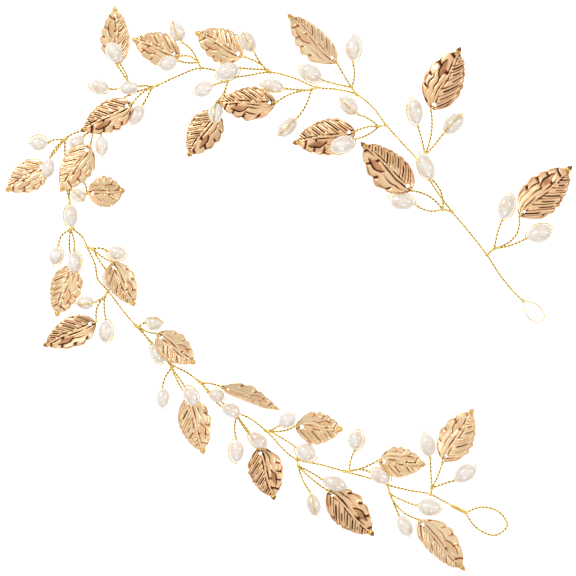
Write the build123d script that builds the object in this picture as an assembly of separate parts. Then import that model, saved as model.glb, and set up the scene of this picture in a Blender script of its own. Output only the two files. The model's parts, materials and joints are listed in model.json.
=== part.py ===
from build123d import *
import math
import os
from collections import namedtuple

# A bridal hair vine: one long craft wire, folded in half and twisted into a springy spine, with 26 sprigs.
# Each sprig is a short twisted stalk that ends in a knot, from which three twisted stems fan out: one carries
# a stamped metal leaf and two carry a rice-shaped pearl each. The vine lies flat on a table, leaves face up.
# Millimetres. +Z is up, Z = 0 is the table, and X, Y = 0 is the middle of the vine's outline.

# ---------------------------------------------------------------- driving dimensions
STRAND_R = 0.18            # one strand of the craft wire
TWIST_R = 0.36             # two strands twisted together: the spine and every stem
SPINE_Z = 2.4              # height of the spine's centre line
BEND_GAP = 0.32            # gap in the spine where two stretches of the vine are hinged
LARGEST_BEND_R = 60.0      # the spine's gentlest bends

STALK_R = 0.46             # the short wrapped stalk of a sprig
STALK_KNOT_R = 0.6         # knot where a stalk leaves the spine, and where its stems fan out
END_KNOT_R = 0.44          # small knot where a stem meets its pearl or leaf
STRAND_TURN_R = 0.26       # rounded turn or crossing of the single strand

LEAF_THICKNESS = 0.3
LEAF_CURL_R = 11.0         # the leaf is bowed across its width to this radius, its face outwards
LEAF_HOLE_R = 0.65         # punched hole near the leaf's base
LEAF_BASE = 1.6            # from the hole's centre back to the base edge
LEAF_FULLNESS = 0.75       # exponent that puts the widest place at 0.4 of the length
LEAF_LOBES = (0.0, 0.13, 0.26, 0.39, 0.52, 0.65, 0.77, 0.86)   # where the scallops meet, base to neck
LOBE_SAGITTA = 0.3         # how far each scallop bulges
NECK_AT = 0.92             # the narrow neck below the pointed tip, as a share of the length
NECK_HALF = 0.55
BARB_AT = 0.95             # the small barb beyond the neck that keeps the wire from slipping off
BARB_HALF = 0.8

BASE_RING_R = 0.95         # the strand's ring through the leaf's hole and round its base edge
BASE_RING_X = -1.0         # the ring's centre, measured from the hole towards the base
LEAF_KNOT_X = -2.25        # where the stem ends, just behind the base edge
NECK_RING_R = 1.05         # the strand's ring round the neck

PEARL_HOLE_R = 0.45
PEARL_END_GAP = 0.55       # from a pearl's end to the wire's turn
PEARL_SIDE_GAP = 0.5       # from a pearl's side to the strand that bends back along it

# ---------------------------------------------------------------- layout of the sprigs
# Leaf: hole and tip (x, y, z), width, roll about the line from hole to tip (left edge up is positive), and
# an optional point that its stem bends through.
# Pearl: near end and far end (x, y, z), diameter, the side on which the outer strand runs back (degrees
# round the pearl from its top, towards its left as seen from the near end), and an optional bend point.
Leaf = namedtuple("Leaf", "hole tip width roll via", defaults=(None,))
Pearl = namedtuple("Pearl", "near far width side via", defaults=(None,))
Sprig = namedtuple("Sprig", "stretch root knot leaf pearls")

SPRIGS = (
    Sprig(1, (62.2, 10.4), (64.6, 12.4, 3.0),
          Leaf((73.8, 23.8, 4.4), (89.0, 38.3, 3.2), 12.2, -6, (71.8, 17.6, 3.8)),
          (Pearl((67.0, 21.6, 3.6), (69.0, 29.4, 3.9), 5.4, -80, (65.4, 16.8, 3.3)),
           Pearl((74.8, 15.6, 3.6), (82.5, 18.3, 3.9), 5.8, 80, (69.8, 13.4, 3.2)))),
    Sprig(1, (51.2, 24.0), (48.3, 24.6, 3.0),
          Leaf((37.4, 31.8, 5.5), (22.6, 45.7, 3.8), 12.0, 12, (43.6, 28.9, 4.4)),
          (Pearl((44.9, 34.0, 6.0), (41.3, 41.8, 6.4), 5.2, 75, (48.2, 28.7, 4.6)),
           Pearl((39.4, 26.2, 4.2), (31.6, 28.0, 3.8), 5.5, -75, (43.6, 24.2, 3.4)))),
    Sprig(1, (41.5, 38.8), (42.8, 41.6, 2.8),
          Leaf((45.6, 57.3, 4.8), (53.8, 75.2, 7.0), 12.2, 4, (44.8, 48.6, 4.0)),
          (Pearl((40.5, 51.0, 3.5), (39.1, 59.3, 3.8), 5.0, 80, (41.8, 46.6, 3.2)),
           Pearl((48.8, 48.5, 3.6), (54.6, 54.2, 4.0), 5.6, 8, (46.2, 45.2, 3.4)))),
    Sprig(1, (30.7, 51.0), (28.2, 50.5, 3.0),
          Leaf((19.2, 48.7, 3.8), (1.2, 45.3, 3.0), 11.2, 5, (23.8, 50.1, 3.6)),
          (Pearl((21.6, 54.5, 3.8), (16.3, 59.4, 4.2), 5.2, 10, (25.2, 52.9, 3.4)),
           Pearl((20.5, 46.1, 7.0), (13.2, 43.2, 7.6), 5.5, 115, (25.2, 48.0, 5.6)))),
    Sprig(2, (21.5, 60.5), (19.9, 62.8, 3.0),
          Leaf((13.9, 71.8, 4.2), (-0.2, 85.6, 6.2), 11.0, 30, (17.2, 66.9, 3.6)),
          (Pearl((10.4, 65.2, 3.8), (4.1, 69.4, 4.4), 5.2, 95, (15.4, 63.7, 3.2)),
           Pearl((20.2, 71.0, 3.5), (20.4, 78.8, 3.8), 5.0, -85, (20.8, 66.8, 3.2)))),
    Sprig(2, (8.9, 62.8), (7.2, 61.9, 3.0),
          Leaf((-5.7, 57.9, 6.4), (-22.5, 57.6, 5.4), 10.4, 8, (0.6, 60.5, 4.4)),
          (Pearl((-1.3, 62.4, 4.4), (-8.2, 64.0, 4.4), 4.6, 50, (3.2, 62.0, 3.4)),
           Pearl((2.6, 52.9, 3.6), (-3.1, 47.6, 4.0), 5.0, 0, (5.6, 57.2, 3.2)))),
    Sprig(2, (-5.6, 67.5), (-6.6, 68.3, 3.0),
          Leaf((-15.6, 73.2, 3.9), (-29.3, 80.2, 2.6), 10.6, -8, (-11.0, 71.3, 3.5)),
          (Pearl((-15.4, 68.5, 6.4), (-22.5, 66.6, 6.2), 5.4, 100, (-11.0, 68.4, 4.6)),
           Pearl((-10.7, 73.9, 5.0), (-14.3, 79.8, 6.6), 5.0, 5, (-8.9, 70.8, 3.8)))),
    Sprig(2, (-18.8, 66.0), (-18.9, 64.6, 2.4),
          Leaf((-23.0, 54.0, 2.8), (-31.4, 41.0, 2.2), 10.6, -4, (-20.2, 59.6, 2.2)),
          (Pearl((-23.6, 63.3, 3.6), (-29.6, 61.0, 3.6), 5.0, 170, (-21.2, 64.2, 2.8)),
           Pearl((-22.2, 57.6, 7.0), (-22.9, 51.4, 7.9), 4.6, -10, (-20.0, 61.2, 3.6)))),
    Sprig(2, (-27.3, 68.8), (-28.2, 70.7, 2.8),
          Leaf((-35.6, 73.2, 3.3), (-49.0, 78.0, 2.6), 10.0, -6, (-31.5, 72.6, 3.2)),
          (Pearl((-33.3, 77.2, 3.6), (-36.0, 83.3, 4.2), 5.0, 10, (-30.2, 74.4, 3.2)),
           Pearl((-34.6, 70.7, 7.0), (-40.3, 69.2, 7.4), 4.8, 180, (-31.2, 70.3, 5.0)))),
    Sprig(3, (-41.0, 63.4), (-42.4, 62.8, 3.0),
          Leaf((-50.2, 56.8, 5.6), (-64.8, 48.8, 5.4), 9.8, 4, (-46.8, 59.8, 4.6)),
          (Pearl((-46.6, 62.9, 5.8), (-52.6, 62.2, 5.2), 4.2, 180, (-44.6, 63.2, 4.4)),
           Pearl((-45.5, 57.0, 3.4), (-49.1, 51.2, 3.4), 4.8, 170, (-43.8, 60.2, 3.0)))),
    Sprig(3, (-49.4, 60.6), (-50.0, 64.4, 2.2),
          Leaf((-53.3, 71.6, 4.0), (-53.9, 88.0, 6.6), 9.6, 24, (-51.9, 67.4, 3.0)),
          (Pearl((-52.6, 70.3, 8.2), (-55.6, 76.3, 9.0), 5.0, 180, (-50.6, 67.0, 5.4)),
           Pearl((-56.0, 62.3, 3.5), (-61.9, 63.8, 3.6), 4.6, 120, (-53.0, 62.4, 2.6)))),
    Sprig(3, (-61.4, 51.0), (-61.0, 49.2, 2.6),
          Leaf((-62.7, 43.0, 7.2), (-71.0, 29.8, 6.4), 10.0, -2, (-61.3, 46.6, 5.0)),
          (Pearl((-64.0, 47.3, 3.4), (-68.0, 43.6, 3.2), 4.6, 170, (-62.4, 48.6, 2.8)),
           Pearl((-58.4, 47.6, 3.4), (-58.0, 41.2, 3.4), 4.4, 175, (-59.4, 49.2, 2.8)))),
    Sprig(3, (-69.3, 46.9), (-70.2, 46.2, 3.0),
          Leaf((-77.0, 37.8, 3.8), (-88.5, 30.2, 3.0), 9.8, 0, (-73.6, 42.4, 3.6)),
          (Pearl((-75.3, 45.4, 3.6), (-80.4, 45.0, 5.6), 4.8, -85, (-72.6, 46.4, 3.2)),
           Pearl((-74.1, 40.3, 7.6), (-75.2, 34.4, 8.4), 4.0, 180, (-71.9, 43.4, 5.6)))),
    Sprig(3, (-69.3, 31.3), (-68.4, 31.6, 2.6),
          Leaf((-61.2, 29.6, 3.6), (-50.6, 30.2, 11.0), 9.6, 8, (-64.2, 33.2, 2.4)),
          (Pearl((-67.3, 30.5, 3.6), (-63.6, 27.1, 3.6), 4.4, 0, (-68.0, 31.2, 3.2)),
           Pearl((-68.0, 25.8, 6.0), (-67.4, 19.0, 6.2), 4.6, -110, (-68.3, 28.6, 4.2)))),
    Sprig(3, (-67.4, 18.8), (-68.0, 18.2, 3.0),
          Leaf((-68.0, 5.6, 3.4), (-72.6, -9.2, 2.8), 9.8, 6, (-68.4, 13.4, 3.0)),
          (Pearl((-71.9, 12.9, 3.5), (-73.4, 7.4, 3.6), 4.6, 80, (-70.6, 16.6, 3.2)),
           Pearl((-66.6, 11.2, 7.0), (-66.4, 4.6, 7.8), 4.6, 85, (-66.9, 15.2, 5.0)))),
    Sprig(4, (-62.9, 12.8), (-61.0, 12.2, 3.0),
          Leaf((-54.2, 6.4, 7.0), (-47.8, -5.8, 6.2), 8.8, -4, (-57.8, 9.6, 5.2)),
          (Pearl((-56.2, 11.6, 3.6), (-50.6, 10.6, 3.6), 5.0, -80, (-58.6, 12.4, 3.2)),
           Pearl((-57.0, 5.6, 3.3), (-55.2, -0.2, 3.3), 4.2, 178, (-59.2, 8.9, 3.2)))),
    Sprig(4, (-56.3, -1.0), (-57.4, -2.8, 2.8),
          Leaf((-61.8, -11.2, 4.0), (-76.7, -18.2, 2.8), 9.6, -8, (-59.7, -6.2, 3.4)),
          (Pearl((-60.6, -4.4, 3.4), (-66.0, -4.8, 4.2), 4.4, 10, (-59.0, -3.7, 3.0)),
           Pearl((-57.0, -10.2, 3.5), (-57.1, -17.0, 3.8), 4.6, 85, (-57.5, -6.2, 3.2)))),
    Sprig(4, (-47.6, -11.9), (-46.6, -12.2, 2.8),
          Leaf((-39.4, -15.4, 8.0), (-28.7, -23.7, 8.2), 9.6, -12, (-43.2, -13.9, 5.6)),
          (Pearl((-44.2, -10.9, 3.5), (-39.2, -11.0, 5.0), 4.9, 40, (-45.6, -11.2, 3.2)),
           Pearl((-42.4, -17.8, 5.3), (-39.1, -23.2, 5.5), 4.6, -120, (-44.6, -14.9, 4.2)))),
    Sprig(4, (-37.0, -23.6), (-36.4, -25.0, 2.6),
          Leaf((-31.0, -36.0, 3.4), (-26.3, -52.2, 2.6), 10.0, 2, (-33.9, -30.4, 2.8)),
          (Pearl((-39.2, -31.2, 3.4), (-39.2, -37.5, 3.6), 4.4, 178, (-38.2, -27.6, 3.0)),
           Pearl((-32.0, -31.0, 7.0), (-28.6, -36.6, 7.6), 4.4, 95, (-34.4, -27.6, 4.8)))),
    Sprig(5, (-27.8, -29.3), (-26.8, -29.9, 3.0),
          Leaf((-18.8, -31.6, 7.4), (-2.6, -38.0, 8.0), 9.8, 58, (-23.6, -29.9, 6.2)),
          (Pearl((-24.6, -32.6, 6.2), (-19.9, -34.3, 6.6), 4.4, 180, (-26.0, -31.0, 4.6)),
           Pearl((-20.5, -37.0, 6.0), (-14.9, -39.4, 6.0), 4.4, 178, (-23.8, -34.3, 4.2)))),
    Sprig(5, (-16.5, -38.7), (-16.0, -40.0, 2.6),
          Leaf((-8.6, -51.6, 3.4), (-4.2, -66.4, 4.0), 10.6, 0, (-12.9, -44.9, 3.0)),
          (Pearl((-16.2, -47.5, 3.5), (-16.0, -54.4, 3.8), 4.8, -85, (-16.7, -43.6, 3.2)),
           Pearl((-11.8, -45.2, 6.4), (-6.8, -49.4, 6.8), 4.4, -100, (-14.2, -42.2, 4.8)))),
    Sprig(5, (-6.9, -44.8), (-5.6, -44.8, 2.8),
          Leaf((4.2, -43.4, 4.2), (17.4, -44.2, 5.0), 10.2, -12, (0.2, -44.2, 3.3)),
          (Pearl((-2.6, -42.8, 6.0), (2.0, -39.4, 7.4), 5.0, 178, (-4.4, -44.0, 4.4)),
           Pearl((2.7, -49.8, 3.6), (8.8, -52.8, 4.0), 5.4, -85, (-1.2, -47.4, 3.2)))),
    Sprig(5, (2.7, -53.6), (3.3, -55.8, 2.8),
          Leaf((13.9, -64.8, 3.8), (27.0, -77.6, 3.0), 11.0, 0, (8.9, -60.9, 3.4)),
          (Pearl((10.9, -59.8, 5.0), (18.3, -62.1, 5.8), 4.8, 178, (7.3, -57.7, 4.2)),
           Pearl((7.1, -64.3, 3.5), (8.8, -71.2, 3.8), 4.6, 0, (4.6, -60.0, 3.2)))),
    Sprig(6, (17.7, -57.4), (19.3, -57.3, 3.0),
          Leaf((30.0, -54.2, 4.6), (43.2, -55.1, 5.4), 9.4, 0, (24.2, -55.9, 3.8)),
          (Pearl((20.9, -50.4, 3.6), (21.3, -44.4, 5.2), 5.2, -85, (19.6, -54.0, 3.2)),
           Pearl((25.7, -57.5, 5.4), (31.8, -60.2, 5.6), 4.4, 85, (22.4, -56.7, 4.4)))),
    Sprig(6, (31.2, -61.6), (31.9, -64.4, 3.0),
          Leaf((42.0, -73.9, 4.2), (55.3, -88.4, 5.0), 11.0, 26, (35.9, -70.0, 3.4)),
          (Pearl((40.4, -68.0, 3.6), (48.2, -69.2, 3.9), 5.6, 165, (36.2, -66.6, 3.2)),
           Pearl((34.8, -71.3, 4.1), (37.9, -77.6, 4.2), 4.8, 178, (33.0, -67.2, 3.4)))),
    Sprig(6, (44.7, -64.6), (45.0, -62.6, 3.0),
          Leaf((49.4, -52.6, 4.2), (57.9, -37.5, 4.8), 10.8, -6, (47.0, -58.3, 3.6)),
          (Pearl((44.4, -52.7, 3.6), (42.6, -45.2, 3.8), 5.2, 165, (44.7, -57.6, 3.2)),
           Pearl((52.1, -60.0, 3.7), (58.7, -55.8, 3.8), 5.6, 165, (48.4, -61.3, 3.3)))),
)

# Each stretch of spine, from bend to bend, as the points that the hand-bent wire passes through.
BENDS = {
    "small_loop_bend": (67.2, 2.9),
    "bend_1": (26.3, 56.8),
    "bend_2": (-34.4, 66.4),
    "bend_3": (-64.3, 15.9),
    "bend_4": (-31.2, -26.7),
    "bend_5": (10.3, -55.3),
    "large_loop_bend": (48.3, -66.5),
}
STRETCHES = {
    1: ("small_loop_bend",
        ((62.2, 10.4), (55.2, 19.3), (51.2, 24.0), (44.4, 33.7), (41.5, 38.8), (35.0, 46.2), (30.7, 51.0)),
        "bend_1"),
    2: ("bend_1",
        ((21.5, 60.5), (15.0, 62.2), (8.9, 62.8), (1.6, 65.8), (-5.6, 67.5), (-14.0, 66.3), (-18.8, 66.0),
         (-22.6, 68.0), (-27.3, 68.8)),
        "bend_2"),
    3: ("bend_2",
        ((-41.0, 63.4), (-49.4, 60.6), (-55.0, 57.0), (-61.4, 51.0), (-65.0, 49.2), (-69.3, 46.9), (-69.8, 41.6),
         (-69.3, 31.3), (-68.0, 25.2), (-67.4, 18.8)),
        "bend_3"),
    4: ("bend_3",
        ((-62.9, 12.8), (-60.3, 7.0), (-59.6, 3.0), (-56.3, -1.0), (-51.9, -6.8), (-47.6, -11.9),
         (-41.9, -17.8), (-37.0, -23.6)),
        "bend_4"),
    5: ("bend_4",
        ((-27.8, -29.3), (-22.4, -34.4), (-16.5, -38.7), (-11.6, -41.0), (-6.9, -44.8), (2.7, -53.6)),
        "bend_5"),
    6: ("bend_5",
        ((17.7, -57.4), (25.0, -59.4), (31.2, -61.6), (38.2, -63.4), (44.7, -64.6)),
        "large_loop_bend"),
}
SMALL_LOOP = (              # a single strand, from the neck round and back to it
    (73.8, -4.2), (77.4, -4.9), (79.7, -7.2), (80.2, -9.4), (78.4, -10.7), (75.6, -9.6), (74.1, -7.2))
LARGE_LOOP = (              # the twisted pair, from the wrapped neck round and back to it
    (55.8, -70.4), (61.6, -68.6), (66.4, -70.4), (68.6, -74.4), (65.2, -77.3), (60.2, -75.9))
SMALL_NECK = (71.6, -2.2)   # a point that the twisted pair passes before the small loop's neck
LARGE_NECK = (51.2, -68.1)  # where the thick wrapping round the large loop's neck begins
NECK_WRAP_R = 0.6
NECK_END_R = 0.66


# ---------------------------------------------------------------- building blocks
def facing(start, end, roll=0.0):
    """A plane at start whose x axis runs to end and whose z axis is turned from up by roll degrees."""
    along = (Vector(*end) - Vector(*start)).normalized()
    left = Vector(0, 0, 1).cross(along).normalized()
    front = along.cross(left)
    turn = math.radians(roll)
    return Plane(Vector(*start), x_dir=along, z_dir=front * math.cos(turn) - left * math.sin(turn))


def at(plane, x, y, z):
    """The point x, y, z of a plane's own frame, in the vine's frame."""
    return plane.from_local_coords(Vector(x, y, z))


def tube(path, radius):
    """A round wire along a path."""
    section = Plane(origin=path @ 0, z_dir=path % 0) * Circle(radius)
    return sweep(section, path=path)


def faceted_lump():
    """A lump of unit radius with 18 flat sides: a cube trimmed by three cubes turned by 45 degrees."""
    cube = Box(2, 2, 2)
    lump = cube & Rot(45, 0, 0) * cube & Rot(0, 45, 0) * cube & Rot(0, 0, 45) * cube
    return Rot(17, 23, 31) * lump.solid()


LUMP = faceted_lump()


def ball(point, radius):
    """A small knot of wire, as a faceted lump."""
    return Pos(*point) * scale(LUMP, by=radius)


def bent_wire(points, radius):
    """A round wire of straight runs joined by arcs as large as the runs allow, up to LARGEST_BEND_R."""
    bends = []
    for before, corner, after in zip(points, points[1:], points[2:]):
        run = min((corner - before).length, (after - corner).length)
        turn = math.radians((corner - before).get_angle(after - corner))
        bends.append(min(0.45 * run / math.tan(turn / 2), LARGEST_BEND_R))
    return tube(FilletPolyline(*points, radius=bends), radius)


def joined(pieces):
    """The pieces fused one after another, each onto what is joined so far."""
    whole = pieces[0]
    for piece in pieces[1:]:
        whole = whole + piece
    return whole


def stem(start, end, via):
    """A twisted stem, straight or bowed through one point."""
    path = ThreePointArc(start, via, end) if via else Line(start, end)
    return tube(path, TWIST_R)


def on_spine(point):
    """A point of the layout at the spine's height."""
    return Vector(point[0], point[1], SPINE_Z)


# ---------------------------------------------------------------- leaf
def half_width(share, width):
    """Half the leaf's width at a share of its length: sin(pi * share ** fullness) ** 0.9."""
    return 0.5 * width * max(math.sin(math.pi * share**LEAF_FULLNESS), 0.0) ** 0.9


def leaf_edge(length, width, side):
    """One scalloped edge, from the base to the pointed tip. side is 1 for the left and -1 for the right."""
    full = length + LEAF_BASE
    corners = [(share * full - LEAF_BASE, side * half_width(share, width)) for share in LEAF_LOBES]
    scallops = [SagittaArc(a, b, side * LOBE_SAGITTA) for a, b in zip(corners, corners[1:])]
    neck = (NECK_AT * full - LEAF_BASE, side * NECK_HALF)
    barb = (BARB_AT * full - LEAF_BASE, side * BARB_HALF)
    return scallops + [Line(corners[-1], neck), Line(neck, barb), Line(barb, (length, 0))]


def make_leaf(leaf):
    """A thin stamped plate, bowed across its width, with scalloped edges, a base hole and a barbed tip."""
    length = (Vector(*leaf.tip) - Vector(*leaf.hole)).length
    outline = make_face(Curve() + leaf_edge(length, leaf.width, 1) + leaf_edge(length, leaf.width, -1))
    blank = extrude(outline, amount=LEAF_CURL_R / 2, both=True)
    bow = Cylinder(LEAF_CURL_R + LEAF_THICKNESS / 2, 4 * length) - Cylinder(
        LEAF_CURL_R - LEAF_THICKNESS / 2, 5 * length
    )
    plate = blank & Pos(0, 0, -LEAF_CURL_R) * Rot(0, 90, 0) * bow
    plate -= Cylinder(LEAF_HOLE_R, LEAF_CURL_R)
    return facing(leaf.hole, leaf.tip, leaf.roll).location * plate


def leaf_wires(leaf, knot):
    """The leaf's stem, the ring through its hole, the strand behind it and the ring round its neck."""
    frame = facing(leaf.hole, leaf.tip, leaf.roll)
    length = (Vector(*leaf.tip) - Vector(*leaf.hole)).length
    neck_x = NECK_AT * (length + LEAF_BASE) - LEAF_BASE
    end = at(frame, LEAF_KNOT_X, 0, 0)
    base_ring = frame.location * Pos(BASE_RING_X, 0, 0) * Rot(90, 0, 0) * Rot(0, 0, 40) * Torus(BASE_RING_R, STRAND_R)
    neck_ring = frame.location * Pos(neck_x, 0, 0) * Rot(60, 90, 0) * Torus(NECK_RING_R, STRAND_R)
    under_base = at(frame, BASE_RING_X, 0, -BASE_RING_R)
    under_neck = at(frame, neck_x, 0, -NECK_RING_R)
    return [
        stem(knot, end, leaf.via),
        ball(end, END_KNOT_R),
        base_ring,
        ball(under_base, STRAND_TURN_R),
        tube(Line(under_base, under_neck), STRAND_R),
        ball(under_neck, STRAND_TURN_R),
        neck_ring,
    ]


# ---------------------------------------------------------------- pearl
def make_pearl(pearl):
    """A rice-shaped pearl, drilled from end to end."""
    length = (Vector(*pearl.far) - Vector(*pearl.near)).length
    middle = (Vector(*pearl.near) + Vector(*pearl.far)) / 2
    half = Pos(0, PEARL_HOLE_R + pearl.width) * Rectangle(2 * length, 2 * pearl.width)
    profile = Ellipse(length / 2, pearl.width / 2) & half
    body = revolve(profile, Axis.X)
    return facing(middle, pearl.far).location * body


def pearl_wires(pearl, knot):
    """The pearl's stem, the strand through its hole, and the strand that bends back along its side."""
    length = (Vector(*pearl.far) - Vector(*pearl.near)).length
    frame = facing(pearl.near, pearl.far)
    angle = math.radians(pearl.side)
    reach = pearl.width / 2 + PEARL_SIDE_GAP
    near = at(frame, -PEARL_END_GAP, 0, 0)
    far = at(frame, length + PEARL_END_GAP, 0, 0)
    side = at(frame, length / 2, reach * math.sin(angle), reach * math.cos(angle))
    return [
        stem(knot, near, pearl.via),
        ball(near, END_KNOT_R),
        tube(Line(near, far), STRAND_R),
        ball(far, STRAND_TURN_R),
        tube(ThreePointArc(far, side, near), STRAND_R),
    ]


# ---------------------------------------------------------------- wires
def spine_end(bend, neighbour):
    """The spine's end at a bend, held back by half the gap towards its next point."""
    here = on_spine(bend)
    return here + (on_spine(neighbour) - here).normalized() * (BEND_GAP / 2)


def make_sprig_wires(sprig):
    """A sprig's stalk and its fan of stems, with the strands that hold its leaf and its two pearls."""
    root = on_spine(sprig.root)
    knot = Vector(*sprig.knot)
    wires = [ball(knot, STALK_KNOT_R), tube(Line(root, knot), STALK_R), ball(root, STALK_KNOT_R)]
    wires += leaf_wires(sprig.leaf, knot)
    for pearl in sprig.pearls:
        wires += pearl_wires(pearl, knot)
    return joined(wires)


def make_stretch_wire(number):
    """One stretch of spine with the wires of its sprigs, as one solid."""
    first, points, last = STRETCHES[number]
    ends = (spine_end(BENDS[first], points[0]), spine_end(BENDS[last], points[-1]))
    spine = bent_wire([ends[0], *[on_spine(p) for p in points], ends[1]], TWIST_R)
    return joined([spine] + [make_sprig_wires(sprig) for sprig in SPRIGS if sprig.stretch == number])


def loop_halves(points, radius):
    """A closed loop of wire from its neck and back to it, as two halves that meet halfway along one run."""
    loop = [on_spine(p) for p in points] + [on_spine(points[0])]
    half = len(loop) // 2
    middle = (loop[half - 1] + loop[half]) / 2
    return [bent_wire(loop[:half] + [middle], radius), bent_wire([middle] + loop[half:], radius)]


def make_small_loop():
    """The spine's tail and the small end loop of one strand."""
    neck = on_spine(SMALL_LOOP[0])
    tail = bent_wire([spine_end(BENDS["small_loop_bend"], SMALL_NECK), on_spine(SMALL_NECK), neck], TWIST_R)
    return joined([tail, ball(neck, END_KNOT_R)] + loop_halves(SMALL_LOOP, STRAND_R))


def make_large_loop():
    """The spine's tail, the thick wrapped neck and the large end loop of the twisted pair."""
    neck = on_spine(LARGE_NECK)
    start = on_spine(LARGE_LOOP[0])
    tail = Line(spine_end(BENDS["large_loop_bend"], LARGE_NECK), neck)
    wrap = [ball(neck, NECK_END_R), tube(Line(neck, start), NECK_WRAP_R), ball(start, NECK_END_R)]
    return joined([tube(tail, TWIST_R)] + wrap + loop_halves(LARGE_LOOP, TWIST_R))


# ---------------------------------------------------------------- export
os.makedirs("parts", exist_ok=True)
for index, sprig in enumerate(SPRIGS, start=1):
    export_step(make_leaf(sprig.leaf), f"parts/leaf_{index:02d}.step")
    export_step(Compound([make_pearl(pearl) for pearl in sprig.pearls]), f"parts/pearls_{index:02d}.step")
for number in STRETCHES:
    export_step(make_stretch_wire(number), f"parts/vine_wire_{number}.step")
export_step(make_small_loop(), "parts/small_end_loop.step")
export_step(make_large_loop(), "parts/large_end_loop.step")
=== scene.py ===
import json
import math
from collections import namedtuple

import bmesh
import bpy
import mathutils
import numpy as np
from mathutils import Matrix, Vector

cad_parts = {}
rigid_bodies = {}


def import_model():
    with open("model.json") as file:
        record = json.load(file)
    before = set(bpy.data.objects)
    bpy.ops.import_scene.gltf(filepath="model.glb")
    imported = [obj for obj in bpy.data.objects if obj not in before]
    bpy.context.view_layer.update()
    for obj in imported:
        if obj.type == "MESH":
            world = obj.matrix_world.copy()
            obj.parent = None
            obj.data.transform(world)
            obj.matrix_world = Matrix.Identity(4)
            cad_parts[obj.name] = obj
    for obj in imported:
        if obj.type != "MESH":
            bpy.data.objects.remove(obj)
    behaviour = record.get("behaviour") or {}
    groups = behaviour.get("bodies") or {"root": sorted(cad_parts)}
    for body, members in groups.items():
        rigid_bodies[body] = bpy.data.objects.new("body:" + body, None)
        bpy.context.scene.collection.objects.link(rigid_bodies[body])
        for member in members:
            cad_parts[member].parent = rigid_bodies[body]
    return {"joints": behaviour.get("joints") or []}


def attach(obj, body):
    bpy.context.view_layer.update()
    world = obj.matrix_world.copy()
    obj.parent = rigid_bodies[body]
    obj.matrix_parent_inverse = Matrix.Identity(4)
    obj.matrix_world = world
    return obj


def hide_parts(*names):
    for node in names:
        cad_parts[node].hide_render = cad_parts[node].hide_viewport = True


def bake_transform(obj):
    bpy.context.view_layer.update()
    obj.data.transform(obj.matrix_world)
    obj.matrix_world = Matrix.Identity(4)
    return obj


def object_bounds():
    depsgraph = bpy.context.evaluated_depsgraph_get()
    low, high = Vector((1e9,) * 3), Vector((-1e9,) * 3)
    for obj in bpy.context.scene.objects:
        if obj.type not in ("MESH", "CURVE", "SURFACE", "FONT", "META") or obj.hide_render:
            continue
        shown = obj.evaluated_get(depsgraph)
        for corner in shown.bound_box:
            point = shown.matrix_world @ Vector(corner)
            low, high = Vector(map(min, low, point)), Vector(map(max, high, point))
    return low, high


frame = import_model()
cad_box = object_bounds()

# A bridal hair vine over a white table: a twisted spine of gold craft wire, 26 sprigs with a stamped leaf and
# two rice pearls each, and a wire loop at each end. The layout is in millimetres, the meshes are in metres.
MM = 0.001

# ---------------------------------------------------------------- sizes
VIEW_WIDTH = 180.0         # width of the table that the camera sees
STRAND_R = 0.18            # one strand of craft wire
TWIST_PITCH = 2.3          # one full turn of the twisted pair
SPINE_Z = 2.4              # height of the spine's centre line
HANG_ROOM = 150.0          # height of the vine over the table, room for its ends when it is bent round a head
BRIDGE_HALF = 1.3          # half the length of the springy piece of spine at each bend
BRIDGE_LAP = 0.15          # how far that piece runs on into its neighbours
LENS_LENGTH = 200.0        # the camera's focal length and the width of its sensor
SENSOR_WIDTH = 36.0
VIEW_LEVEL = 4.0           # height at which the view is VIEW_WIDTH wide
TABLE_HALF = 3.0           # half the table's side, in metres

LEAF_THICKNESS = 0.3
LEAF_CURL_R = 11.0         # the leaf is bowed across its width to this radius
LEAF_HOLE_R = 0.65
LEAF_BASE = 1.6            # from the hole's centre back to the base edge
LEAF_FULLNESS = 0.75       # under 1, so the leaf is widest nearer its base
SHOULDER_AT = 0.86         # shares of the leaf's length: where its body gives way to the neck,
NECK_AT = 0.92             # where the neck is narrowest
BARB_AT = 0.95             # and where the barb before the tip is widest
SHOULDER_HALF = 1.9        # the largest half width there
NECK_HALF = 0.55
BARB_HALF = 0.8
RIB_COUNT = 9.0            # ribs on the leaf's right half
LOBE_COUNT = 5.0           # lobes on its left half
RELIEF_HEIGHT = 0.5        # from the bottom of a groove to the top of a ridge
PLAIN_LEVEL = 0.6          # level of the unstamped plate, between groove (0) and ridge (1)
DARK_LEAVES = (1, 2, 3, 4, 6, 8, 10, 17, 21, 23)  # the leaves drawn darker, with deeper-looking grooves
DARK_LEAF_TONE = (1.15, 0.16)  # how much deeper the grooves look, and how much darker the whole plate
LIGHT_LEAF_TONE = (0.95, -0.03)
LEAF_GRID = (140, 68)      # rows from base to tip and columns from edge to edge
LEAF_SEED = 300            # each leaf's random draws start from this and its number

PEARL_END_GAP = 0.45       # from a pearl's end to the wire's turn
PEARL_SIDE_GAP = 0.3       # from a pearl's side to the strand that runs back along it
DRILL_HOLE_R = 0.42        # a pearl is dimpled where it is thinner than this
DRILL_DIMPLE = 0.5         # how deep the dimple is in the middle
PEARL_GRID = (44, 32)      # rows from end to end and columns round the pearl
PEARL_SEED = 700

# Coils of one strand, as radius and number of turns.
COIL_PITCH = 2.1 * STRAND_R
LEAF_STEM_COIL = (0.42, 1.6)
PEARL_STEM_COIL = (0.36, 1.3)
ROOT_COIL = (0.52, 1.8)    # round the spine, where a sprig grows out of it
KNOT_COIL = (0.5, 1.8)     # round the top of its stalk
SMALL_NECK_COIL = (0.42, 2.0)
LARGE_NECK_COIL_R = 0.5    # as many turns as fit on the neck

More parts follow.
